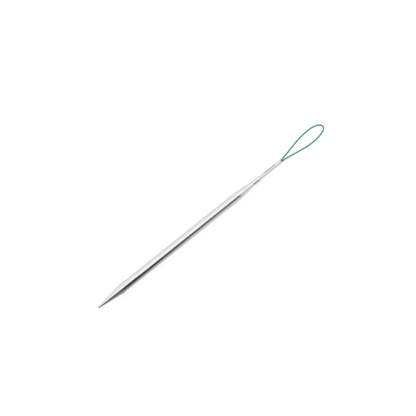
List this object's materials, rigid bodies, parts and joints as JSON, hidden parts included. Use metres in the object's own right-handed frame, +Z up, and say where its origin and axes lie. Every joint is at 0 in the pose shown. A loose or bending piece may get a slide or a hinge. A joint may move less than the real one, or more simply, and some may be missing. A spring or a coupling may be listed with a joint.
{
  "type": "loop-eye needle",
  "caption": "Slim polished metal needle with a tapered point, a stepped thin tube at the rear and a closed loop of green coated cable as a flexible eye.",
  "frame": {"origin": "on the surface that the needle lies on, under the middle of its metal length, from its point to the mouth of its rear tube", "axes": "+X along the needle from its point towards the cable loop, +Z up, the loop lies level at the height of the needle's axis"},
  "size_m": [0.0998, 0.005, 0.003],
  "materials": {
    "polished_nickel": "bright nickel plate over brass, polished, with fine lengthwise hairlines",
    "drawn_stainless": "bright drawn stainless tube",
    "green_jacket": "smooth green nylon coating with a soft gloss",
    "wire_strand": "bare stainless wire strand",
    "clear_adhesive": "cured clear resin"
  },
  "bodies": {
    "needle": {"needle_shaft": "polished_nickel", "ferrule_tube": "drawn_stainless", "neck_adhesive": "clear_adhesive", "ferrule_potting": "clear_adhesive", "left_leg_jacket": "green_jacket", "left_leg_core": "wire_strand", "right_leg_jacket": "green_jacket", "right_leg_core": "wire_strand"},
    "loop": {"loop_jacket": "green_jacket", "loop_core": "wire_strand"}
  },
  "joints": [
    {"name": "loop_bend", "type": "hinge", "parent": "needle", "child": "loop", "pos_m": [0.0418, 0, 0.00149], "axis": [0, -1, 0], "range_deg": [-4, 80], "stiffness_Nm_per_rad": 0.0017}
  ]
}
